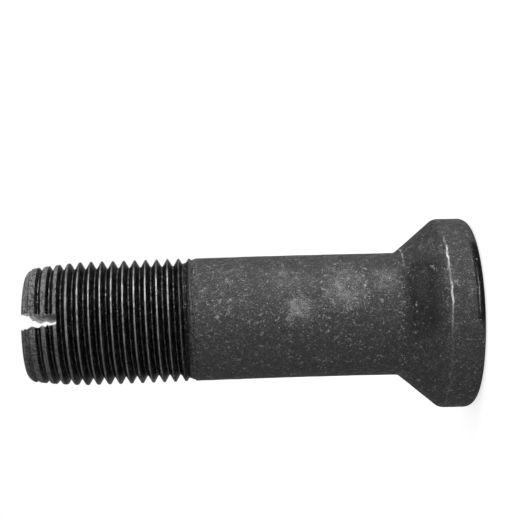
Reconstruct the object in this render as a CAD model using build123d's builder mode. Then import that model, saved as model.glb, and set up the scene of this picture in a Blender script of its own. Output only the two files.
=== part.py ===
"""Countersunk socket-head bolt with a fine right-hand thread and a slotted end.

The bolt was forged, turned and threaded from one bar, so it is one solid. It stands
on the flat face of its head: the origin is the centre of that face, +Z runs up the
shank to the slotted thread end, and the slot across that end runs along Y.
Lengths are in millimetres.
"""

import os
from math import ceil, cos, radians, tan

from build123d import *

INCH = 25.4

# Shank and thread
overall_length = 2.25 * INCH
shank_diameter = 15.75
thread_diameter = 0.625 * INCH
threads_per_inch = 18
thread_length = 22.2
thread_angle = 60.0
crest_width = 0.18
crest_taper = 0.07
thread_start_angle = 79.0
runout_length = 2.4

# Lead and nose of the threaded end
lead_length = 7.0
lead_diameter = 14.65
nose_length = 0.9
nose_diameter = 13.4

# Slot sawn across the threaded end
slot_width = 1.6
slot_depth = 4.5
slot_offset = 0.2

# Countersunk head
head_diameter = 24.5
head_rim_height = 4.6
countersink_angle = 82.0
face_rounding = 1.5

# Hexagon socket in the head's face
socket_across_flats = 0.5 * INCH
socket_depth = 7.0
socket_floor_sink = 1.0
socket_mouth_chamfer = 0.3

# Worked out from the sizes above
pitch = INCH / threads_per_inch
shank_radius = shank_diameter / 2
thread_radius = thread_diameter / 2
head_radius = head_diameter / 2
thread_start = overall_length - thread_length
lead_start = overall_length - lead_length
nose_start = overall_length - nose_length
neck_height = head_rim_height + (head_radius - shank_radius) / tan(radians(countersink_angle / 2))
flank_slope = tan(radians(thread_angle / 2))
thread_depth = (pitch - crest_width) / 2 / flank_slope
root_radius = thread_radius - thread_depth


def turned_blank():
    """The forged and turned bar: half its section, spun about the axis."""
    bevel = face_rounding * (1 - cos(radians(45)))
    with BuildPart() as blank:
        with BuildSketch(Plane.XZ):
            with BuildLine():
                Polyline(
                    (0, 0),
                    (head_radius - face_rounding, 0),
                    (head_radius - bevel, bevel),
                    (head_radius, face_rounding),
                    (head_radius, head_rim_height),
                    (shank_radius, neck_height),
                    (shank_radius, thread_start),
                    (thread_radius, thread_start),
                    (thread_radius - crest_taper, lead_start),
                    (lead_diameter / 2, nose_start),
                    (nose_diameter / 2, overall_length),
                    (0, overall_length),
                    close=True,
                )
            make_face()
        revolve(axis=Axis.Z)
    return blank


def thread_groove():
    """Helical V groove, swept one turn after another from below the thread to past its end."""
    turns = ceil(thread_length / pitch) + 2
    lowest = overall_length - (turns - 1) * pitch
    clear = pitch / 4
    mouth = (thread_depth + clear) * flank_slope
    with BuildPart() as groove:
        with BuildLine():
            for turn in range(turns):
                Helix(pitch, pitch, thread_radius, center=(0, 0, lowest + turn * pitch))
        with BuildSketch(Plane.XZ):
            with BuildLine():
                Polyline(
                    (root_radius, lowest),
                    (thread_radius + clear, lowest + mouth),
                    (thread_radius + clear, lowest - mouth),
                    close=True,
                )
            make_face()
        sweep(is_frenet=True)
    return groove


def runout_core():
    """Core that fills the groove below the thread. Its cone is the floor of the run-out."""
    foot = thread_start - 3 * pitch
    tip_radius = root_radius - pitch / 4
    climb = runout_length / (shank_radius - root_radius)
    tip_height = thread_start + (shank_radius - tip_radius) * climb
    with BuildPart() as core:
        with BuildSketch(Plane.XZ):
            with BuildLine():
                Polyline(
                    (0, foot),
                    (shank_radius, foot),
                    (shank_radius, thread_start),
                    (tip_radius, tip_height),
                    (0, tip_height),
                    close=True,
                )
            make_face()
        revolve(axis=Axis.Z)
    return core


blank = turned_blank()
groove = thread_groove()
core = runout_core()

with BuildPart() as bolt:
    add(blank.part)
    add(groove.part.rotate(Axis.Z, thread_start_angle), mode=Mode.SUBTRACT)
    add(core.part)
    # Slot across the threaded end
    with BuildSketch(Plane.XY.offset(overall_length)):
        with Locations((slot_offset, 0)):
            Rectangle(slot_width, thread_diameter + pitch)
    extrude(amount=-slot_depth, mode=Mode.SUBTRACT)
    # Hexagon socket with a hollow floor and a broken edge at its mouth
    with BuildSketch(Plane.XY):
        RegularPolygon(socket_across_flats / 2, 6, major_radius=False)
    extrude(amount=socket_depth, mode=Mode.SUBTRACT)
    with BuildSketch(Plane.XZ):
        with BuildLine():
            Polyline(
                (0, socket_depth),
                (socket_across_flats / 2, socket_depth),
                (0, socket_depth + socket_floor_sink),
                close=True,
            )
        make_face()
    revolve(axis=Axis.Z, mode=Mode.SUBTRACT)
    mouth = bolt.faces().filter_by(Plane.XY).sort_by(Axis.Z)[0].inner_wires()[0]
    chamfer(mouth.edges(), socket_mouth_chamfer)

bolt.part.label = "bolt"

os.makedirs("parts", exist_ok=True)
export_step(bolt.part, "parts/bolt.step")
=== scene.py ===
"""Countersunk socket-head bolt in blackened steel, modelled and finished around its CAD frame."""

import math

import bmesh
import bpy
from bpy.props import FloatProperty, FloatVectorProperty, IntProperty, PointerProperty
from mathutils import Matrix, Vector, noise


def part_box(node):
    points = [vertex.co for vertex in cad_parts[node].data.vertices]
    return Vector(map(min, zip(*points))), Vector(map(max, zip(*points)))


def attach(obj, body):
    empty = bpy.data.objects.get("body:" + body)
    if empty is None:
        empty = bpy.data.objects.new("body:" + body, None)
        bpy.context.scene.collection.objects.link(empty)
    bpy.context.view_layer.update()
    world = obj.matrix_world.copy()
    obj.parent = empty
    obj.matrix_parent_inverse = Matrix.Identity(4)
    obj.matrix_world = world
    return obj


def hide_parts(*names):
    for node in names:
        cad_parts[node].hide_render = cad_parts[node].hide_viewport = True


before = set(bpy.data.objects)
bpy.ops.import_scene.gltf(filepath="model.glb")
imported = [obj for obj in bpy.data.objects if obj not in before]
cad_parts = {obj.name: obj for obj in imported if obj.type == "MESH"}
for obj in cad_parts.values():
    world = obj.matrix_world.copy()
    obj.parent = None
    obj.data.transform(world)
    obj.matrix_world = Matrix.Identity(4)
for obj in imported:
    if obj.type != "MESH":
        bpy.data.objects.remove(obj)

bl_info = {
    "name": "Countersunk Socket Bolt",
    "version": (1, 0, 0),
    "blender": (4, 5, 0),
    "location": "View3D > Sidebar > Bolt",
    "description": "Models a blackened countersunk bolt with a fine thread, a slot and a hexagon socket",
    "category": "Object",
}

MM = 0.001
INCH = 25.4 * MM
FULL_TURN = 2 * math.pi
BOLT_LOW, BOLT_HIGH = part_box("bolt")
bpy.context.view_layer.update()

# Corners closer than this are one corner
WELD = MM / 500
# Faces that meet at less than this are shaded as one curve
SMOOTH_ANGLE = math.radians(32)
# Lean of the thread's flanks, and the rounding of the groove's bottom and mouth
FLANK_ANGLE = math.radians(30)
ROOT_BLEND = 0.12 * MM
CREST_BLEND = 0.04 * MM
CREST_WEAR = 0.02 * MM
# Height over which the crests swell from the shank's radius to their own
CREST_SWELL = 3.5 * MM
# How steeply the lead and the nose fall away towards the end
LEAD_CURVE = 1.6
NOSE_CURVE = 1.7
# Where the turned stretches stop before their rings are bridged
SHANK_STOP = 0.3 * MM
BAND_FOOT = 0.15 * MM
BAND_STOP = 0.12 * MM
CAP_STOP = 0.05 * MM
# Metal pushed over the upper wall of the saw cut at each crest, and a chip at its edge
BURR_SWING = 0.28
BURR_DROP = 0.15
BURR_PHASE = 0.49 * MM
CHIP_DEPTH = 0.4 * MM
# Divisions of the saw cut's sides, and rings of the socket's dished floor
SAW_CUTS = 40
DISH_RINGS = 14

# Bright specks in the skin and on the thread: radius, angle round from X, height and reach in millimetres
SKIN_MARKS = ((10.8, 298.9, 6.26, 0.16), (10.93, 297.5, 6.12, 0.2), (11.1, 296.1, 5.93, 0.22),
              (11.3, 295.2, 5.69, 0.16), (11.07, 294.7, 5.96, 0.14), (11.0, 298.2, 5.95, 0.16),
              (9.15, 273, 8.2, 0.25), (9.65, 205, 7.6, 0.3), (10.2, 193, 7.0, 0.3),
              (7.92, 264.5, 18.9, 0.2), (7.92, 252.5, 19.0, 0.2), (7.92, 294, 14.2, 0.25),
              (7.92, 313, 19.4, 0.2), (12.2, 341, 4.15, 0.2), (12.2, 343.5, 4.1, 0.3),
              (12.05, 298.5, 0.75, 0.2))
THREAD_MARKS = ((7.6, 237.4, 53.18, 0.16), (7.6, 236, 52.98, 0.18), (7.6, 234.6, 52.78, 0.14),
                (7.3, 222.7, 54.5, 0.22), (7.9, 224.5, 37.1, 0.13), (7.9, 227, 36.9, 0.13),
                (7.9, 229.5, 36.68, 0.13), (7.9, 232, 36.45, 0.13), (7.6, 221.5, 39.16, 0.2),
                (7.7, 212.7, 36.4, 0.2), (7.6, 209.2, 41.95, 0.22), (7.6, 272.9, 40.82, 0.22),
                (7.7, 217.5, 51.64, 0.18), (7.4, 245.4, 48.41, 0.16))
# Grey clouds in the shank's skin: angle, height, reach and strength
HAZE_SPOTS = ((273, 22.5, 2.6, 1.3), (291, 16.6, 3.8, 1.0), (300, 11.6, 2.6, 0.6), (306, 24.0, 3.0, 0.5))
# Knocks on the rim and the neck: radius, angle, height, reach and depth
KNOCKS = ((12.25, 346, 4.1, 0.7, 0.14), (12.1, 210, 4.3, 0.8, 0.1), (8.1, 334, 9.1, 0.5, 0.08),
          (12.2, 120, 4.5, 0.8, 0.12), (12.0, 40, 0.6, 0.7, 0.1))


def length(name, description, default, **limits):
    """A size in metres that the sidebar shows with its unit."""
    return FloatProperty(name=name, description=description, default=default, min=0, unit="LENGTH",
                         precision=5, **limits)


def share(name, description, default):
    """A number from none to all."""
    return FloatProperty(name=name, description=description, default=default, min=0, max=1,
                         subtype="FACTOR")


def shade(name, description, default):
    """A linear colour."""
    return FloatVectorProperty(name=name, description=description, default=default, min=0, max=1, size=3,
                               subtype="COLOR")


def measures(name, description, default):
    """A place or a size in metres with two or three measures."""
    return FloatVectorProperty(name=name, description=description, default=default, size=len(default),
                               unit="LENGTH", precision=4)


class BoltSizes(bpy.types.PropertyGroup):
    """Sizes of the bolt. It stands on its head's face and the shank rises along Z."""

    overall_length: length("Overall length", "From the head's face to the thread's end", BOLT_HIGH.z)
    shank_radius: length("Shank radius", "Plain shank", 7.92 * MM)
    thread_radius: length("Thread radius", "Over the crests", 7.98 * MM)
    pitch: length("Pitch", "Height of one turn of the thread", INCH / 18)
    thread_length: length("Thread length", "From the end to where the thread runs out", 21.7 * MM)
    thread_depth: length("Thread depth", "From crest to root", 0.95 * MM)
    root_width: length("Root width", "Flat at the bottom of the groove", 0.16 * MM)
    runout_length: length("Run-out length", "Where the groove climbs out of the shank", 2.5 * MM)
    start_angle: FloatProperty(name="Thread start", default=math.radians(100), subtype="ANGLE",
                               description="Where the groove meets the end, round from X")
    lead_length: length("Lead length", "Tapered turns at the end", 8.2 * MM)
    lead_loss: length("Lead loss", "Radius lost by the first turn", 0.62 * MM)
    nose_length: length("Nose length", "Rounded stretch before the end face", 0.9 * MM)
    nose_radius: length("Nose radius", "Radius of the end face", 6.7 * MM)
    slot_width: length("Slot width", "Saw cut at its bottom", 1.39 * MM)
    slot_flare: length("Slot flare", "Extra width of the saw cut where it opens", 0.49 * MM)
    slot_depth: length("Slot depth", "Depth of the saw cut", 4.5 * MM)
    slot_offset: length("Slot offset", "How far the cut lies off the middle", 0.17 * MM)
    head_radius: length("Head radius", "Outside of the head", BOLT_HIGH.x)
    rim_height: length("Rim height", "Straight band of the head", 4.6 * MM)
    countersink: FloatProperty(name="Countersink", description="Angle between the cone's two sides",
                               default=math.radians(82), subtype="ANGLE")
    face_rounding: length("Face rounding", "Round edge of the head's face", 1.35 * MM)
    face_slope: FloatProperty(name="Face slope", default=math.radians(20), subtype="ANGLE",
                              description="Lean of the flat band between the face and its round edge")
    rim_rounding: length("Rim rounding", "Where the rim turns into the cone", 1.6 * MM)
    neck_rounding: length("Neck rounding", "Where the cone turns into the shank", 0.8 * MM)
    socket_flats: length("Socket width", "Hexagon across its flats", INCH / 2)
    socket_depth: length("Socket depth", "To the edge of the floor", 7.0 * MM)
    socket_dish: length("Socket dish", "How far the floor sinks at its middle", 1.0 * MM)
    socket_chamfer: length("Socket chamfer", "Broken edge at the mouth", 0.3 * MM)
    socket_corner: length("Socket corner", "Rounding of the six corners", 0.15 * MM)
    bow: FloatProperty(name="Bow", description="How far the shank bends off its line", default=0.13 * MM,
                       unit="LENGTH", precision=5)
    bow_span: length("Bow span", "Height at which the bent shank meets its line again", 42 * MM)
    steps: IntProperty(name="Steps", description="Divisions of one turn", default=192, min=24)

    @property
    def thread_start(self):
        """Height at which the groove begins to leave the shank."""
        return self.overall_length - self.thread_length

    @property
    def neck_height(self):
        """Height at which the cone would meet the shank without its rounding."""
        return self.rim_height + (self.head_radius - self.shank_radius) / math.tan(self.countersink / 2)


class BoltFinish(bpy.types.PropertyGroup):
    """Colours and roughness of the blackened steel."""

    oxide: shade("Oxide", "Dry black skin of the head and shank", (0.038, 0.038, 0.0385))
    haze: shade("Haze", "Greyer patches in the skin", (0.18, 0.18, 0.182))
    # Also the colour of the painted shade on the head's cone
    thread_black: shade("Thread black", "Oiled flanks of the thread", (0.012, 0.012, 0.0123))
    # Also the colour of the painted highlight on the crests and the rim, and of the painted glints in the
    # socket
    bare_and_highlight: shade("Bare steel", "Where handling has rubbed the skin through", (0.42, 0.42, 0.42))
    sawn: shade("Sawn steel", "Ridges left by the saw in the slot", (0.62, 0.62, 0.62))
    skin_roughness: share("Skin roughness", "Dry skin", 0.55)
    thread_roughness: share("Thread roughness", "Oiled flanks", 0.34)
    socket_roughness: share("Socket roughness", "Walls of the socket", 0.42)
    edge: share("Edge", "Strength of the reflection at a glancing angle", 0.4)
    sawn_edge: share("Sawn edge", "The same on the walls of the slot", 0.75)


class StageSettings(bpy.types.PropertyGroup):
    """Camera, lamps and floor."""

    lens: FloatProperty(name="Lens", description="Focal length in millimetres", default=86.54)
    sensor: FloatProperty(name="Sensor", description="Width of the sensor in millimetres", default=36)
    head_right: FloatProperty(name="Head to the right", description="From the lens axis to the head's face",
                              default=27.2476 * MM, unit="LENGTH")
    head_down: FloatProperty(name="Head below", description="From the lens axis to the head's face",
                             default=6.8311 * MM, unit="LENGTH")
    distance: FloatProperty(name="Distance", description="From the lens to the head's face",
                            default=163.3754 * MM, unit="LENGTH")
    yaw: FloatProperty(name="Yaw", description="Turn of the shank away from the lens", default=0.0275,
                       subtype="ANGLE")
    tilt: FloatProperty(name="Tilt", description="Rise of the shank towards the head", default=0.0267,
                        subtype="ANGLE")
    roll: FloatProperty(name="Slot roll", description="Turn of the slot above the lens axis",
                        default=math.radians(6.6), subtype="ANGLE")
    key_power: FloatProperty(name="Key power", description="Soft lamp above the shank", default=2.6,
                             unit="POWER", precision=4)
    fill_power: FloatProperty(name="Fill power", description="Weak lamp beside the lens", default=0.02,
                              unit="POWER", precision=4)
    key_place: measures("Key place", "Above the shank and near the lens", (0.37, -0.165, 0.035))
    key_size: measures("Key size", "Its width across and its height along the shank", (0.42, 0.06))
    fill_place: measures("Fill place", "Beside the lens", (0.02, -0.45, 0.12))
    fill_size: measures("Fill size", "Its width across and its height along the shank", (0.30, 0.10))
    ambient: share("Ambient", "Light from all round", 0.42)
    floor_grey: share("Floor grey", "Brightness of the floor's own colour", 0.86)
    floor_glow: share("Floor glow", "Light that the floor adds to reach white in the picture", 0.68)


def greatest(*masks):
    """The greatest of several masks at each point."""
    total = masks[0]
    for mask in masks[1:]:
        total = total.most(mask)
    return total


class Wire:
    """A socket of a node tree. Python's signs on it add the tree's own Math nodes."""

    def __init__(self, nodes, socket):
        self.nodes = nodes
        self.socket = socket

    def maths(self, operation, *others):
        """A Math node on this socket and the others."""
        return self.nodes.maths(operation, self, *others)

    def __add__(self, other):
        return self.maths("ADD", other)

    def __radd__(self, other):
        return self.maths("ADD", other)

    def __sub__(self, other):
        return self.maths("SUBTRACT", other)

    def __rsub__(self, other):
        return self.nodes.maths("SUBTRACT", other, self)

    def __mul__(self, other):
        return self.maths("MULTIPLY", other)

    def __rmul__(self, other):
        return self.maths("MULTIPLY", other)

    def most(self, other):
        """The greater of the two."""
        return self.maths("MAXIMUM", other)

    def rise(self, low, high, bottom=0.0, top=1.0):
        """Smooth step from bottom to top as the value goes from low to high."""
        settings = {"interpolation_type": "SMOOTHSTEP"}
        values = {"Value": self, "From Min": low, "From Max": high, "To Min": bottom, "To Max": top}
        return self.nodes.node("ShaderNodeMapRange", settings, values)

    def near(self, centre, reach):
        """One at the centre, falling to none at reach either side."""
        return (self - centre).maths("ABSOLUTE").rise(0, reach, 1, 0)


class Nodes:
    """The node tree of a material or a world, emptied and then filled by expressions."""

    def __init__(self, owner):
        owner.use_nodes = True
        self.tree = owner.node_tree
        self.tree.nodes.clear()

    def node(self, kind, settings=None, values=None, output=0):
        """Adds a node: its settings first, then the values or links of its sockets."""
        made = self.tree.nodes.new(kind)
        for name, value in (settings or {}).items():
            setattr(made, name, value)
        for name, value in (values or {}).items():
            socket = made.inputs[name]
            if isinstance(value, Wire):
                self.tree.links.new(value.socket, socket)
            else:
                socket.default_value = value
        return Wire(self, made.outputs[output]) if len(made.outputs) else None

    def maths(self, operation, *values):
        """A Math node on the values in their order."""
        return self.node("ShaderNodeMath", {"operation": operation}, dict(enumerate(values)))

    def seen_directly(self):
        """One for rays from the camera, a reflection or a glass, none for the light itself."""
        camera, glossy, glass = (self.node("ShaderNodeLightPath", output=f"Is {ray} Ray")
                                 for ray in ("Camera", "Glossy", "Transmission"))
        return camera.most(glossy).most(glass)


class Steel(Nodes):
    """A finish of the bolt, written as expressions on its own coordinates in millimetres."""

    def __init__(self, name):
        self.material = bpy.data.materials.new(name)
        super().__init__(self.material)
        place = self.node("ShaderNodeTexCoord", output="Object")
        self.place = self.node("ShaderNodeVectorMath", {"operation": "SCALE"}, {0: place, "Scale": 1 / MM})
        self.x, self.y, self.z = (self.node("ShaderNodeSeparateXYZ", None, {0: self.place}, axis)
                                  for axis in "XYZ")
        self.radius = self.from_axis()

    def from_axis(self):
        """Distance from the bolt's axis."""
        return (self.x * self.x + self.y * self.y).maths("SQRT")

    def unbend(self, sizes):
        """Measures X and the radius from the bowed shank's own line."""
        wave = (self.z * (math.pi / (sizes.bow_span / MM))).maths("SINE")
        self.x = self.x - wave * (sizes.bow / MM)
        self.radius = self.from_axis()

    def stretch(self, scale, place=None):
        """The place with each axis scaled."""
        return self.node("ShaderNodeMapping", None, {"Vector": place or self.place, "Scale": scale})

    def cloud(self, scale, detail=2.0, roughness=0.5, place=None, distortion=0.0):
        """Noise with that many lumps to the millimetre."""
        values = {"Vector": place or self.place, "Scale": scale, "Detail": detail, "Roughness": roughness,
                  "Distortion": distortion}
        return self.node("ShaderNodeTexNoise", None, values)

    def cells(self, scale):
        """Distance to scattered points, that many to the millimetre."""
        return self.node("ShaderNodeTexVoronoi", None, {"Vector": self.place, "Scale": scale})

    def strokes(self, scale, lean, slimness=3.5):
        """Short fibres that lean from the bolt's axis, that many to the millimetre across."""
        turned = self.node("ShaderNodeVectorRotate", {"rotation_type": "Y_AXIS"},
                           {"Vector": self.place, "Angle": math.radians(lean)})
        return self.cloud(scale, 1.0, 0.5, self.stretch((1, 1, 1 / slimness), turned), 0.5)

    def patch(self, radius, angle, height, reach):
        """One at a spot on the bolt's side, falling to none at reach from it, all in millimetres."""
        away = self.node("ShaderNodeVectorMath", {"operation": "DISTANCE"},
                         {0: self.place, 1: spot_on_side(radius, angle, height)}, "Value")
        return away.rise(0, reach, 1, 0)

    def marks(self, spots):
        """One at each listed speck."""
        return greatest(*(self.patch(*speck) for speck in spots))

    def mix(self, amount, *colours):
        """Colour between the first and the second."""
        first, second = (colour if isinstance(colour, Wire) else (*colour, 1) for colour in colours)
        settings = {"data_type": "RGBA", "clamp_factor": True}
        return self.node("ShaderNodeMix", settings, {0: amount, 6: first, 7: second}, 2)

    def bump(self, height, strength, distance):
        """Normal that follows a height in millimetres."""
        values = {"Height": height, "Strength": strength, "Distance": distance * MM}
        return self.node("ShaderNodeBump", None, values)

    def finish(self, colour, roughness, normal, edge):
        """Joins the expressions to the surface shader and returns the material."""
        values = {"Base Color": colour, "Roughness": roughness, "Normal": normal, "Metallic": 1.0,
                  "Specular Tint": (edge, edge, edge, 1)}
        surface = self.node("ShaderNodeBsdfPrincipled", None, values)
        self.node("ShaderNodeOutputMaterial", None, {"Surface": surface})
        return self.material


def spot_on_side(radius, angle, height):
    """Place at a radius, an angle in degrees round from X and a height."""
    turn = math.radians(angle)
    return radius * math.cos(turn), radius * math.sin(turn), height


def select_only(piece):
    """Selects one piece alone and makes it the active one."""
    bpy.ops.object.select_all(action="DESELECT")
    piece.select_set(True)
    bpy.context.view_layer.objects.active = piece


def begin_edit(piece):
    """Opens one piece for editing, with all of it selected."""
    select_only(piece)
    bpy.ops.object.mode_set(mode="EDIT")
    bpy.ops.mesh.select_mode(type="VERT")
    bpy.ops.mesh.select_all(action="SELECT")


def end_edit():
    """Back to object mode."""
    bpy.ops.object.mode_set(mode="OBJECT")


def apply_modifier(piece, kind, **settings):
    """Adds a modifier to the piece and applies it."""
    select_only(piece)
    modifier = piece.modifiers.new(kind.title(), kind)
    for name, value in settings.items():
        setattr(modifier, name, value)
    bpy.ops.object.modifier_apply(modifier=modifier.name)


def draw_profile(name, points):
    """One open line through the points, each a radius and a height, drawn by extruding a single corner."""
    bpy.ops.object.select_all(action="DESELECT")
    bpy.ops.mesh.primitive_plane_add(size=MM)
    piece = bpy.context.object
    piece.name = name
    begin_edit(piece)
    bpy.ops.mesh.merge(type="CENTER")
    corner = Vector((0, 0))
    for index, point in enumerate(points):
        step = Vector(point) - corner
        move = {"value": (step.x, 0, step.y)}
        if index:
            bpy.ops.mesh.extrude_vertices_move(TRANSFORM_OT_translate=move)
        else:
            bpy.ops.transform.translate(**move)
        corner = Vector(point)
    end_edit()
    return piece


def spin_round(piece, steps):
    """Turns a profile about Z into a closed surface of revolution."""
    begin_edit(piece)
    bpy.ops.mesh.spin(steps=steps, angle=FULL_TURN, center=(0, 0, 0), axis=(0, 0, 1))
    bpy.ops.mesh.select_all(action="SELECT")
    bpy.ops.mesh.remove_doubles(threshold=WELD)
    end_edit()


def move_vertices(piece, change):
    """Gives each vertex the place that the change works out from its own."""
    for vertex in piece.data.vertices:
        vertex.co = change(vertex.co)
    piece.data.update()


def arc(centre, radius, first, last, count):
    """Points on a round stretch of a profile, both ends included."""
    middle, height = centre
    angles = [first + (last - first) * index / count for index in range(count + 1)]
    return [(middle + radius * math.cos(angle), height + radius * math.sin(angle)) for angle in angles]


def stretch_points(first, last, count):
    """Points between two corners of a profile, both left out."""
    return [tuple(Vector(first).lerp(Vector(last), index / count)) for index in range(1, count)]


def smooth_step(value, low, high):
    """From none to all as the value goes from low to high."""
    part = min(max((value - low) / (high - low), 0), 1)
    return part * part * (3 - 2 * part)


def soft_least(first, second, blend):
    """The smaller of two values, with their corner rounded over the blend."""
    part = min(max(0.5 + 0.5 * (second - first) / blend, 0), 1)
    return second * (1 - part) + first * part - blend * part * (1 - part)


def blank_radius(sizes, height):
    """Radius of the turned bar under the thread, with its tapered lead and rounded nose."""
    from_end = sizes.overall_length - height
    swell = smooth_step(height, sizes.thread_start - 0.1 * MM, sizes.thread_start + CREST_SWELL)
    radius = sizes.shank_radius + (sizes.thread_radius - sizes.shank_radius) * swell
    if from_end < sizes.lead_length:
        taper = (sizes.lead_length - from_end) / (sizes.lead_length - sizes.nose_length)
        radius = sizes.thread_radius - sizes.lead_loss * taper ** LEAD_CURVE
    if from_end < sizes.nose_length:
        part = 1 - from_end / sizes.nose_length
        shoulder = sizes.thread_radius - sizes.lead_loss
        radius = shoulder + (sizes.nose_radius - shoulder) * part ** NOSE_CURVE
    return radius


def core_radius(sizes, height):
    """Radius below which the groove never goes: the shank under the thread, then the run-out's cone."""
    part = max(0, (height - sizes.thread_start) / sizes.runout_length)
    return sizes.shank_radius - sizes.thread_depth * part


def groove_depth(sizes, offset):
    """Depth of the V groove at that distance from its middle, with its corners rounded."""
    slope = math.tan(FLANK_ANGLE)
    mouth = sizes.root_width / 2 + sizes.thread_depth * slope
    wall = (mouth - abs(offset)) / slope
    depth = soft_least(wall, sizes.thread_depth, ROOT_BLEND)
    return -soft_least(-depth, 0, CREST_BLEND)


def add_thread_band(sizes):
    """The threaded stretch: one tooth's profile, screwed round and held between the core and the blank."""
    # Corners of half a tooth, in pitches from the middle of its groove
    spots = (0, 0.05, 0.11, 0.19, 0.28, 0.36, 0.41, 0.445, 0.47, 0.5)
    offsets = [-spot * sizes.pitch for spot in reversed(spots[1:])] + [spot * sizes.pitch for spot in spots]
    turns = math.ceil(sizes.thread_length / sizes.pitch) + 3
    lowest = sizes.overall_length - (turns - 1) * sizes.pitch - sizes.pitch * sizes.start_angle / FULL_TURN
    points = [(sizes.thread_radius - groove_depth(sizes, offset), lowest + offset) for offset in offsets]
    band = draw_profile("thread_band", points)
    apply_modifier(band, "SCREW", axis="Z", angle=FULL_TURN, screw_offset=sizes.pitch, iterations=turns,
                   steps=sizes.steps, render_steps=sizes.steps, use_merge_vertices=True,
                   merge_threshold=WELD)
    begin_edit(band)
    bpy.ops.mesh.remove_doubles(threshold=WELD)
    end_edit()

    def hold(place):
        radius = math.hypot(place.x, place.y)
        height = place.z
        wear = CREST_WEAR * (0.5 + noise.noise(place / MM * 0.9))
        outside = blank_radius(sizes, height)
        wanted = min(radius, outside - wear * smooth_step(radius, outside - 0.3 * MM, outside))
        wanted = max(wanted, core_radius(sizes, height))
        wanted = min(wanted, outside)
        return Vector((place.x * wanted / radius, place.y * wanted / radius, height))

    move_vertices(band, hold)
    return band


def cut_band(band, bottom, top):
    """Trims the threaded stretch square at both ends."""
    for height, normal in ((bottom, (0, 0, -1)), (top, (0, 0, 1))):
        begin_edit(band)
        bpy.ops.mesh.bisect(plane_co=(0, 0, height), plane_no=normal, clear_outer=True, clear_inner=False,
                            threshold=MM / 1000)
        end_edit()


def head_profile(sizes):
    """Half section from the middle of the head's face, round the rim and up the cone to the shank."""
    half = sizes.countersink / 2
    radius = sizes.head_radius
    face = [(spot * radius, 0) for spot in (0, 0.2, 0.35, 0.46, 0.53, 0.6, 0.68, 0.76, 0.83)]
    edge_centre = (radius - sizes.face_rounding, sizes.face_rounding)
    edge = arc(edge_centre, sizes.face_rounding, sizes.face_slope - math.pi / 2, 0, 10)
    back_off = sizes.rim_rounding * math.tan((math.pi / 2 - half) / 2)
    rim_centre = (radius - sizes.rim_rounding, sizes.rim_height - back_off)
    rim = arc(rim_centre, sizes.rim_rounding, 0, math.pi / 2 - half, 6)
    neck_off = sizes.neck_rounding * math.tan(half / 2)
    neck_centre = (sizes.shank_radius + sizes.neck_rounding, sizes.neck_height + neck_off)
    hollow = arc(neck_centre, sizes.neck_rounding, math.pi + half, math.pi, 6)
    rows = face + edge
    rows += stretch_points(edge[-1], rim[0], 7) + rim
    rows += stretch_points(rim[-1], hollow[0], 9) + hollow
    return rows, hollow[-1]


def add_body(sizes):
    """Head and shank turned from one profile."""
    rows, shank_bottom = head_profile(sizes)
    shank_top = (sizes.shank_radius, sizes.thread_start - SHANK_STOP)
    rows += stretch_points(shank_bottom, shank_top, 46) + [shank_top]
    body = draw_profile("bolt_body", rows)
    spin_round(body, sizes.steps)
    return body, shank_top[1]


def add_end_face(sizes):
    """Flat end of the thread with a rounded corner."""
    top = sizes.overall_length
    radius = sizes.nose_radius
    rows = [(radius, top - CAP_STOP), (radius - 0.05 * MM, top - 0.015 * MM), (radius - 0.16 * MM, top)]
    rows += [(spot * radius, top) for spot in (0.9, 0.75, 0.55, 0.35, 0.15, 0)]
    cap = draw_profile("thread_end", rows)
    spin_round(cap, sizes.steps)
    return cap


def select_rings(piece, heights):
    """Selects the open border edges that lie at those heights."""
    mesh = bmesh.from_edit_mesh(piece.data)
    found = 0
    for edge in mesh.edges:
        wanted = edge.is_boundary and any(
            all(abs(corner.co.z - height) < WELD for corner in edge.verts) for height in heights)
        edge.select_set(wanted)
        found += wanted
    mesh.select_flush_mode()
    bmesh.update_edit_mesh(piece.data)
    return found


def join_stretches(body, others, seams):
    """Joins the turned stretches into one piece and bridges each seam's two rings."""
    bpy.ops.object.select_all(action="DESELECT")
    for part in (body, *others):
        part.select_set(True)
    bpy.context.view_layer.objects.active = body
    bpy.ops.object.join()
    for seam in seams:
        begin_edit(body)
        bpy.ops.mesh.select_all(action="DESELECT")
        bpy.ops.mesh.select_mode(type="EDGE")
        if not select_rings(body, seam):
            raise RuntimeError("a seam of the bolt's body has no open rings")
        bpy.ops.mesh.bridge_edge_loops()
        end_edit()
    begin_edit(body)
    bpy.ops.mesh.normals_make_consistent(inside=False)
    end_edit()


def forge_unevenness(sizes, body):
    """Slight waves and knocks of a forged and handled bolt."""
    def wander(place):
        radius = math.hypot(place.x, place.y)
        if radius < 0.5 * sizes.socket_flats or place.z > sizes.thread_start:
            return place
        spot = place / MM
        swell = noise.noise(spot * 0.35)
        grain = noise.noise(spot * 1.7)
        fade = smooth_step(sizes.thread_start - place.z, 0, 1.5 * MM) * smooth_step(place.z, 0, 0.4 * MM)
        depth = fade * MM * (0.03 * swell + 0.012 * grain)
        for *where, reach, deep in KNOCKS:
            away = (spot - Vector(spot_on_side(*where))).length
            depth += deep * MM * (1 - smooth_step(away, 0, reach))
        return Vector((place.x * (1 - depth / radius), place.y * (1 - depth / radius), place.z))

    move_vertices(body, wander)


def bow_shank(sizes, body):
    """Bends the bolt a hair's breadth off its line, as use leaves it."""
    def bend(place):
        return place + Vector((sizes.bow * math.sin(math.pi * place.z / sizes.bow_span), 0, 0))

    move_vertices(body, bend)


def saw_wander(place, upper):
    """How far a wall of the saw cut wanders at a place, most where it opens towards -Y."""
    spot = Vector((7 if upper else 3, place.y / MM, place.z / MM))
    ragged = smooth_step(-place.y, 3 * MM, 6 * MM)
    wander = 0.2 * MM * noise.noise(spot * 0.8) + 0.16 * MM * noise.noise(spot * 2.2)
    return wander + 0.3 * MM * ragged * noise.noise(spot * 3.1)


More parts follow.
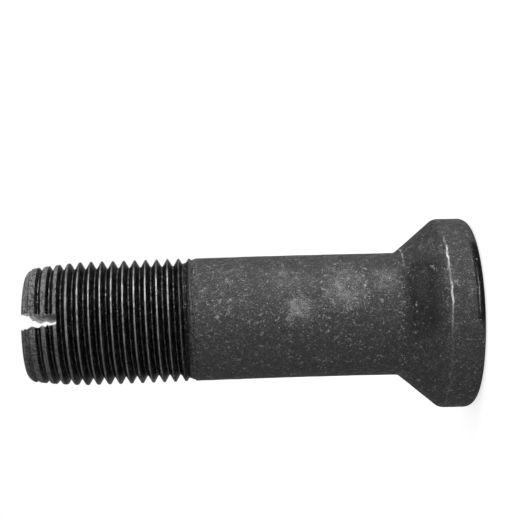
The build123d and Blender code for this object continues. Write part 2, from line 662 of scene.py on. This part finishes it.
def saw_burr(sizes, place):
    """Metal pushed over the upper wall at each crest towards +Y, and a chip near the middle of its edge."""
    from_end = sizes.overall_length - place.z
    open_side = smooth_step(place.y, 4 * MM, 7 * MM)
    wave = 0.5 - 0.5 * math.cos(FULL_TURN * (from_end - BURR_PHASE) / sizes.pitch)
    chip = smooth_step(place.y, -8 * MM, -2 * MM) * smooth_step(place.y, 1.5 * MM, -0.8 * MM)
    burr = open_side * (BURR_SWING * wave - BURR_DROP) * MM
    return burr + CHIP_DEPTH * chip * smooth_step(from_end, 1.1 * MM, 0.5 * MM)


def add_slot_cutter(sizes):
    """Saw blade's path across the end, with sides that wander a little as a hand-held cut does."""
    reach = 2.4 * sizes.thread_radius
    height = sizes.slot_depth + 2 * MM
    middle = Vector((sizes.slot_offset, 0, sizes.overall_length - sizes.slot_depth + height / 2))
    bpy.ops.object.select_all(action="DESELECT")
    bpy.ops.mesh.primitive_cube_add(size=1, location=middle, scale=(sizes.slot_width, reach, height))
    cutter = bpy.context.object
    cutter.name = "slot_cutter"
    bpy.ops.object.transform_apply(location=True, rotation=True, scale=True)
    begin_edit(cutter)
    bpy.ops.mesh.subdivide(number_cuts=SAW_CUTS)
    end_edit()

    def shape(place):
        upper = place.x > middle.x
        outward = abs(place.x - middle.x) / (sizes.slot_width / 2)
        shift = saw_wander(place, upper)
        if upper:
            shift += saw_burr(sizes, place)
        else:
            opening = 1 - (sizes.overall_length - place.z) / sizes.slot_depth
            shift -= sizes.slot_flare * min(max(opening, 0), 1.2)
        return place + Vector((shift * outward, 0, 0))

    move_vertices(cutter, shape)
    return cutter


def add_socket_cutter(sizes):
    """Hexagonal punch with softened corners and divided end edges; shape_socket_ends gives it its dished
    end and wider mouth.
    """
    over_corners = sizes.socket_flats / math.sqrt(3)
    below = 1 * MM
    bpy.ops.object.select_all(action="DESELECT")
    bpy.ops.mesh.primitive_cylinder_add(vertices=6, radius=over_corners, depth=sizes.socket_depth + below,
                                        location=(0, 0, (sizes.socket_depth - below) / 2),
                                        rotation=(0, 0, math.radians(30)))
    cutter = bpy.context.object
    cutter.name = "socket_cutter"
    bpy.ops.object.transform_apply(location=True, rotation=True, scale=True)
    for upright in (True, False):
        begin_edit(cutter)
        bpy.ops.mesh.select_mode(type="EDGE")
        bpy.ops.mesh.select_all(action="DESELECT")
        mesh = bmesh.from_edit_mesh(cutter.data)
        for edge in mesh.edges:
            low, high = sorted(corner.co.z for corner in edge.verts)
            rises = high - low > sizes.socket_depth / 2
            edge.select_set(rises == upright and edge.calc_length() > sizes.socket_flats / 4)
        bmesh.update_edit_mesh(cutter.data)
        if upright:
            bpy.ops.mesh.bevel(offset=sizes.socket_corner, segments=3, affect="EDGES")
        else:
            bpy.ops.mesh.subdivide(number_cuts=7)
        end_edit()
    return cutter


def shape_socket_ends(sizes, cutter):
    """Flares the punch at the head's face and rounds its far end into a dish."""
    begin_edit(cutter)
    bpy.ops.mesh.bisect(plane_co=(0, 0, sizes.socket_chamfer), plane_no=(0, 0, 1))
    end_edit()
    begin_edit(cutter)
    bpy.ops.mesh.select_all(action="DESELECT")
    bpy.ops.mesh.select_mode(type="FACE")
    mesh = bmesh.from_edit_mesh(cutter.data)
    for face in mesh.faces:
        face.select_set(face.normal.z > 0.9)
    bmesh.update_edit_mesh(cutter.data)
    for left in range(DISH_RINGS, 0, -1):
        width = (left - 1) / left if left > 1 else 0.02
        bpy.ops.mesh.extrude_region_move()
        bpy.ops.transform.resize(value=(width, width, 1), center_override=(0, 0, 0))
    bpy.ops.mesh.merge(type="COLLAPSE")
    end_edit()
    inner = sizes.socket_flats / 2

    def shape(place):
        radius = math.hypot(place.x, place.y)
        if place.z < sizes.socket_chamfer - WELD:
            grow = 1 + (sizes.socket_chamfer - place.z) / inner
            return Vector((place.x * grow, place.y * grow, place.z))
        if place.z > sizes.socket_depth - MM / 100:
            part = min(radius / inner, 1)
            rough = 0.05 * MM * noise.noise(place / MM * 2.2)
            return place + Vector((0, 0, sizes.socket_dish * (1 - part * part) + rough * (1 - part ** 4)))
        return place

    move_vertices(cutter, shape)


def cut_away(body, cutter):
    """Takes the cutter's shape out of the body and removes the cutter."""
    before = len(body.data.polygons)
    apply_modifier(body, "BOOLEAN", operation="DIFFERENCE", object=cutter, solver="EXACT",
                   material_mode="TRANSFER")
    if len(body.data.polygons) < before / 2:
        raise RuntimeError(f"{cutter.name} could not be cut out of the bolt")
    bpy.data.objects.remove(cutter, do_unlink=True)


def oxide_skin(finish, sizes):
    """Dry black skin of the head and shank: fine fibres, greyer patches, rubbed edges with a painted
    highlight on the rim, painted shade on the cone and light specks.
    """
    skin = Steel("oxide_skin")
    radius = sizes.shank_radius / MM
    rim = sizes.head_radius / MM
    neck = sizes.neck_height / MM
    # Grain and fibres
    grain = skin.cloud(6.0, 2.0, 0.6, distortion=0.3)
    mottle = skin.cloud(1.3, 3.0, 0.6)
    fine = skin.cloud(8.0, 2.0, 0.6)
    lines = skin.strokes(5.5, 38).most(skin.strokes(5.5, -42)).rise(0.6, 0.7)
    flecks = skin.strokes(3.0, 50, 3.0).most(skin.strokes(3.0, -25, 3.0)).rise(0.67, 0.75)
    # Grey clouds, with more haze on the side towards the key lamp as painted light
    drift = skin.cloud(0.45, 3.0, 0.6, distortion=0.5)
    haze_spots = (skin.patch(radius, *where) * strength for *where, strength in HAZE_SPOTS)
    # Painted light: the skin is greyer on the +X side, where the key lamp falls
    patches = greatest(*haze_spots) + skin.x.rise(-1, 4) * drift.rise(0.5, 0.75) * 0.35
    patches = patches * drift.rise(0.3, 0.55, 0.4, 1)
    # Dark places: painted shade on the cone and the hollow under it, and a darker, glossier band along the
    # round edge of the face
    # Painted shade: the cone is darkened with the thread's black in place of shade that the lamps don't
    # give it
    painted_cone_shade = skin.patch(9.9, 280, 7.3, 7.5).rise(0, 0.5)
    painted_cone_shade = painted_cone_shade * skin.cloud(0.6, 3.0, 0.6).rise(0.35, 0.6, 0.6, 1)
    painted_cone_shade = painted_cone_shade * skin.z.rise(4.6, 6.6, 0.1, 1) * skin.radius.rise(radius + 0.1, radius + 1.2)
    shaded = skin.z.near(7.0, 3.2) * skin.radius.rise(radius + 0.2, radius + 1.5)
    gloss_band = (skin.z + grain * 0.3).rise(1.5, 1.25)
    gloss_band = gloss_band * skin.patch(rim, 286, 0.6, 7.5).rise(0.05, 0.3)
    gloss_band = gloss_band * skin.radius.rise(rim - 1.2, rim - 0.7)
    dark = greatest(painted_cone_shade * 0.62, gloss_band * 0.85, shaded * 0.1)
    on_face = skin.z.rise(0.5, 0.1)
    # Bright places: pits, the rubbed rim with a painted highlight that fades away from the key lamp, the
    # neck and the line along the face's edge
    pits = skin.cells(1.5).rise(0.1, 0.18, 1, 0) * skin.cloud(0.7, 1.0).rise(0.45, 0.58)
    wobble = skin.z + skin.cloud(0.8, 2.0) * 0.5
    broken = skin.cloud(1.1, 4.0, 0.8).rise(0.36, 0.5, 0.35, 1)
    # Partly a painted highlight: the rim line is strongest in stretches along X and fades on the side away
    # from the key lamp
    rim_line_strength = (skin.x.near(6.4, 2.2) + skin.x.near(1.5, 2.4)).rise(0, 0.8, 0.35, 1.2)
    rim_line = wobble.near(sizes.rim_height / MM - 0.1, 0.19) * skin.radius.rise(rim - 0.7, rim - 0.3)
    rim_line = rim_line * rim_line_strength * skin.x.rise(9.4, 8.4, 0.1, 1) * skin.x.rise(-3.5, -1.5, 0.25, 1)
    neck_band = skin.z.near(neck - 0.5, 1.6).rise(0.1, 0.5)
    neck_specks = neck_band * skin.cells(2.3).rise(0.12, 0.24, 1, 0) * mottle.rise(0.42, 0.5)
    neck_specks = neck_specks * skin.x.rise(5.5, 1.5, 0.4, 1)
    neck_nick = wobble.near(neck - 0.3, 0.16) * skin.x.rise(5.2, 6.2)
    neck_nick = neck_nick * skin.cloud(1.6, 2.0).rise(0.4, 0.5)
    face_line = (skin.z + skin.cloud(0.8, 2.0) * 0.2).near(0.98, 0.1)
    face_line = face_line * gloss_band * skin.x.near(1.8, 3.6)
    # rubbed holds real wear and, through the rim line, a painted highlight
    rubbed = greatest(rim_line * broken, neck_specks * 0.7, neck_nick * 0.8, face_line * broken * 0.7)
    bright = greatest(pits * 0.55, rubbed * 0.9, skin.marks(SKIN_MARKS) * 0.7)
    # The colour, from the haze over the oxide to the specks of uncovered steel and the painted highlight
    tone = grain.rise(0.38, 0.62, 0.35, 1.65) * mottle.rise(0.4, 0.6, 0.6, 1.4) * (1 - painted_cone_shade * 0.4)
    light = fine.rise(0.5, 0.68) * (patches * 0.9 + 0.4)
    light = light + flecks * skin.radius.rise(radius + 0.3, radius + 1.5, 0.8, 0.3)
    haze = (patches * 0.4 + lines * (patches * 0.9 + 0.3) + light) * tone * (1 - on_face * 0.55)
    haze = haze + on_face * skin.radius.rise(rim - 2.15, rim - 1.9, 0.02, 0.14)
    base = skin.mix(dark, skin.mix(haze, finish.oxide, finish.haze), finish.thread_black)
    colour = skin.mix(bright, base, finish.bare_and_highlight)
    roughness = finish.skin_roughness + fine.rise(0.3, 0.7, -0.08, 0.1) - rubbed * 0.15 - gloss_band * 0.25
    normal = skin.bump(grain * 0.5 + fine * 0.4 + lines * 0.4 + mottle * 0.35 - pits * 0.5, 1.0, 0.24)
    return skin.finish(colour, roughness, normal, finish.edge)


def thread_steel(finish, sizes):
    """Oiled thread: near-black flanks, crests rubbed to thin bright lines and given a painted highlight
    towards the key lamp, a duller run-out and lead.
    """
    steel = Steel("thread_steel")
    steel.unbend(sizes)
    end = sizes.overall_length / MM
    from_end = end - steel.z
    lead = sizes.lead_length / MM
    nose = sizes.nose_length / MM
    # Crests and roots, found by their distance from the turned bar's surface
    taper = (lead - from_end).maths("DIVIDE", lead - nose).most(0)
    outside = sizes.thread_radius / MM - taper.maths("POWER", LEAD_CURVE) * (sizes.lead_loss / MM)
    below = outside - steel.radius
    crest = below.rise(0.0, 0.08, 1, 0).most(from_end.rise(1.3, 0.9) * 0.8)
    root = steel.radius.near((sizes.thread_radius - sizes.thread_depth) / MM, 0.07)
    # Grain, dust, spots of wear and painted light on the key lamp's side
    drift = steel.cloud(0.7, 3.0, 0.65).rise(0.35, 0.65, 0.55, 1.0)
    grain = steel.cloud(4.5, 3.0, 0.7)
    fine = steel.cloud(8.0, 2.0, 0.6)
    dots = steel.cloud(4.5, 2.0, 0.8).rise(0.5, 0.62)
    lumps = steel.cloud(2.6, 3.0, 0.7, distortion=0.6).rise(0.42, 0.58)
    specks = steel.cells(2.2).rise(0.12, 0.24, 1, 0) * steel.cloud(0.9, 2.0).rise(0.45, 0.55)
    dust = fine.rise(0.57, 0.68) * steel.cloud(1.4, 2.0).rise(0.35, 0.6, 0.3, 1)
    crest_breaks = steel.cloud(1.6, 3.0, 0.75).rise(0.38, 0.54, 0.4, 1)
    # Painted light: the crests' highlight is dimmed away from the side where the key lamp falls
    lit = steel.x.rise(-4.5, -0.5, 0.5, 1) * steel.x.rise(6.8, 3.5, 0.4, 1)
    # Dull turns at the lead and the run-out
    start = sizes.thread_start / MM
    blunt = from_end.rise(7.0, 3.5)
    runout = steel.z.rise(start + 3.4, start + 2.0)
    ramp = steel.z.rise(start + 1.2, start + 0.7)
    dull = blunt.most(runout)
    # The crest lines are partly rubbed bright and partly a painted highlight
    crest_wear_and_highlight = crest * drift * crest_breaks * lit * (1 - dull * 0.85)
    land = (dull * crest).most(ramp)
    dry = (land * lumps.rise(0, 0.6, 0.45, 1)).most(grain.rise(0.5, 0.75) * 0.5)
    base = steel.mix(dry, finish.thread_black, finish.oxide)
    speckle = (lumps * 0.9 + fine.rise(0.5, 0.62) * 0.5) * land * (1 - runout * 0.65)
    # Painted light: the speckle is lighter towards +X, the side the key lamp lights
    speckle = speckle * steel.x.rise(-4, 3, 0.45, 1)
    base = steel.mix(speckle.most(dust * 0.6), base, finish.haze)
    # Bare metal and painted highlight: crests with their painted highlight, specks and the edges of the
    # slot
    beside_slot = steel.x.near(sizes.slot_offset / MM - 0.15, 1.35) * from_end.rise(5.4, 4.6)
    burrs = beside_slot * dots * crest * 0.7
    # Partly painted glints: these bits of uncovered steel on the lands lie only on the side towards the key
    # lamp
    bits = steel.cells(3.2).rise(0.16, 0.32, 1, 0) * lumps * land * steel.x.rise(-1, 4)
    wear_and_highlight = greatest(crest_wear_and_highlight * 0.55, root * dots * 0.3, dust * 0.5, specks * 0.4, burrs, bits * 0.6,
                    steel.marks(THREAD_MARKS) * 0.8)
    colour = steel.mix(wear_and_highlight, base, finish.bare_and_highlight)
    roughness = finish.thread_roughness + land.most(dust) * 0.25 + grain.rise(0.3, 0.7, -0.05, 0.08)
    normal = steel.bump((grain + fine * 0.5) * (land * 0.75 + 0.25), 1.0, 0.35)
    return steel.finish(colour, roughness, normal, finish.edge)


def sawn_steel(finish):
    """Walls of the slot: straight saw marks in bare steel."""
    sawn = Steel("sawn_steel")
    marks = sawn.cloud(2.4, 3.0, 0.7, sawn.stretch((1, 0.25, 4)))
    grain = sawn.cloud(7.0, 2.0, 0.6)
    ridges = marks.rise(0.3, 0.7) * 0.6 + grain.rise(0.4, 0.7) * 0.5
    colour = sawn.mix(ridges, finish.bare_and_highlight, finish.sawn)
    roughness = finish.skin_roughness + marks.rise(0.3, 0.7, -0.12, 0.05)
    normal = sawn.bump(marks * 0.7 + grain * 0.3, 0.6, 0.08)
    return sawn.finish(colour, roughness, normal, finish.sawn_edge)


def punched_steel(finish, sizes):
    """Socket: smooth dark walls and a coarse floor that sparkles."""
    punched = Steel("punched_steel")
    depth = sizes.socket_depth / MM
    floor = punched.z.rise(depth - 0.3, depth + 0.02)
    grain = punched.cloud(6.0, 4.0, 0.75)
    points = punched.cells(4.6)
    sparkle = points.rise(0.22, 0.44, 1, 0) * grain.rise(0.42, 0.54)
    streaks = punched.cloud(1.2, 3.0, 0.6, punched.stretch((2.5, 2.5, 0.3)))
    walls = punched.mix(streaks.rise(0.45, 0.8) * 0.5, finish.thread_black, finish.oxide)
    bottom = punched.mix(grain.rise(0.4, 0.65) * 0.8, finish.oxide, finish.haze)
    bottom = punched.mix(sparkle * 0.8, bottom, finish.bare_and_highlight)
    mouth = punched.z.rise(0.42, 0.24) * streaks.rise(0.3, 0.5, 0.2, 0.6)
    colour = punched.mix(mouth, punched.mix(floor, walls, bottom), finish.haze)
    roughness = finish.socket_roughness + floor * grain.rise(0.3, 0.7, -0.1, 0.15)
    normal = punched.bump((grain * 0.7 - points * 0.6) * floor + streaks * 0.2, 1.0, 0.3)
    return punched.finish(colour, roughness, normal, finish.edge)


class BOLT_OT_add_body(bpy.types.Operator):
    """Models the bolt in one piece: turned head and shank, screwed thread, sawn slot and punched socket"""

    bl_idname = "bolt.add_body"
    bl_label = "Add Bolt"

    def execute(self, context):
        sizes = context.scene.bolt_sizes
        finish = context.scene.bolt_finish
        band = add_thread_band(sizes)
        body, shank_top = add_body(sizes)
        cap = add_end_face(sizes)
        band_bottom = shank_top + BAND_FOOT
        band_top = sizes.overall_length - BAND_STOP
        cut_band(band, band_bottom, band_top)
        skin = oxide_skin(finish, sizes)
        thread = thread_steel(finish, sizes)
        body.data.materials.append(skin)
        band.data.materials.append(thread)
        cap.data.materials.append(skin)
        forge_unevenness(sizes, body)
        cap_ring = sizes.overall_length - CAP_STOP
        join_stretches(body, (band, cap), ((shank_top, band_bottom), (band_top, cap_ring)))
        slot_cutter = add_slot_cutter(sizes)
        slot_cutter.data.materials.append(sawn_steel(finish))
        cut_away(body, slot_cutter)
        socket_cutter = add_socket_cutter(sizes)
        shape_socket_ends(sizes, socket_cutter)
        socket_cutter.data.materials.append(punched_steel(finish, sizes))
        cut_away(body, socket_cutter)
        bow_shank(sizes, body)
        select_only(body)
        bpy.ops.object.shade_smooth_by_angle(angle=SMOOTH_ANGLE)
        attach(body, "root")
        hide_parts("bolt")
        return {"FINISHED"}


class BOLT_OT_add_stage(bpy.types.Operator):
    """Adds the pale floor, the soft lamps and the camera"""

    bl_idname = "bolt.add_stage"
    bl_label = "Add Stage"

    def execute(self, context):
        settings = context.scene.bolt_stage
        context.scene.view_settings.view_transform = "Standard"
        add_floor(settings.floor_grey, settings.floor_glow)
        add_world(settings.ambient)
        add_camera(settings)
        add_lamp("key", settings.key_place, settings.key_size, settings.key_power)
        add_lamp("fill", settings.fill_place, settings.fill_size, settings.fill_power)
        return {"FINISHED"}


def add_floor(grey, glow):
    """Wide pale floor under the head. It shows white and keeps the bolt's shadow."""
    bpy.ops.object.select_all(action="DESELECT")
    bpy.ops.mesh.primitive_plane_add(size=6)
    floor = bpy.context.object
    floor.name = "floor"
    material = bpy.data.materials.new("pale_floor")
    nodes = Nodes(material)
    values = {"Base Color": (grey, grey, grey, 1), "Roughness": 0.9, "Specular IOR Level": 0.1,
              "Emission Color": (1, 1, 1, 1), "Emission Strength": nodes.seen_directly() * glow}
    surface = nodes.node("ShaderNodeBsdfPrincipled", None, values)
    nodes.node("ShaderNodeOutputMaterial", None, {"Surface": surface})
    floor.data.materials.append(material)


def add_world(ambient):
    """White all round to the eye and in reflections, and a gentler light from all sides."""
    world = bpy.data.worlds.new("studio")
    bpy.context.scene.world = world
    nodes = Nodes(world)
    strength = nodes.seen_directly().rise(0, 1, ambient, 1)
    background = nodes.node("ShaderNodeBackground", None, {"Color": (1, 1, 1, 1), "Strength": strength})
    nodes.node("ShaderNodeOutputWorld", None, {"Surface": background})


def add_lamp(name, place, size, power):
    """Soft lamp, its width across and its height along the shank, aimed at the middle of the bolt."""
    bpy.ops.object.light_add(type="AREA", location=place)
    lamp = bpy.context.object
    lamp.name = name
    lamp.data.shape = "RECTANGLE"
    lamp.data.size, lamp.data.size_y = size
    lamp.data.energy = power
    target = (BOLT_LOW + BOLT_HIGH) / 2
    lamp.rotation_euler = (target - Vector(place)).to_track_quat("-Z", "Y").to_euler()


def add_camera(settings):
    """Camera that sees the standing bolt lying across the picture, its head to the right."""
    shank = Vector((math.cos(settings.yaw) * math.cos(settings.tilt), -math.sin(settings.tilt),
                    math.sin(settings.yaw) * math.cos(settings.tilt)))
    axis_z = -shank
    axis_y = Vector((0, math.sin(settings.roll), math.cos(settings.roll)))
    axis_y = (axis_y - axis_z * axis_y.dot(axis_z)).normalized()
    axis_x = axis_y.cross(axis_z)
    head = Vector((settings.head_right, settings.head_down, settings.distance))
    to_frame = Matrix((axis_x, axis_y, axis_z))
    place = to_frame @ -head
    right = to_frame @ Vector((1, 0, 0))
    up = to_frame @ Vector((0, -1, 0))
    back = to_frame @ Vector((0, 0, -1))
    bpy.ops.object.camera_add()
    camera = bpy.context.object
    camera.data.lens = settings.lens
    camera.data.sensor_width = settings.sensor
    camera.data.clip_start = 0.01
    camera.matrix_world = Matrix.Translation(place) @ Matrix((right, up, back)).transposed().to_4x4()
    bpy.context.scene.camera = camera


class BOLT_PT_panel(bpy.types.Panel):
    """Lists the bolt's sizes, finish and stage"""

    bl_label = "Bolt"
    bl_idname = "BOLT_PT_panel"
    bl_space_type = "VIEW_3D"
    bl_region_type = "UI"
    bl_category = "Bolt"

    def draw(self, context):
        groups = ((context.scene.bolt_sizes, BOLT_OT_add_body.bl_idname),
                  (context.scene.bolt_finish, None),
                  (context.scene.bolt_stage, BOLT_OT_add_stage.bl_idname))
        for group, operator in groups:
            box = self.layout.box()
            for name in group.__annotations__:
                box.prop(group, name)
            if operator:
                box.operator(operator)


CLASSES = (BoltSizes, BoltFinish, StageSettings, BOLT_OT_add_body, BOLT_OT_add_stage, BOLT_PT_panel)


def register():
    for item in CLASSES:
        bpy.utils.register_class(item)
    bpy.types.Scene.bolt_sizes = PointerProperty(type=BoltSizes)
    bpy.types.Scene.bolt_finish = PointerProperty(type=BoltFinish)
    bpy.types.Scene.bolt_stage = PointerProperty(type=StageSettings)


def unregister():
    del bpy.types.Scene.bolt_stage
    del bpy.types.Scene.bolt_finish
    del bpy.types.Scene.bolt_sizes
    for item in reversed(CLASSES):
        bpy.utils.unregister_class(item)


def main():
    """Registers the add-on and adds the bolt and its stage."""
    register()
    bpy.ops.bolt.add_body()
    bpy.ops.bolt.add_stage()


if __name__ == "__main__":
    main()
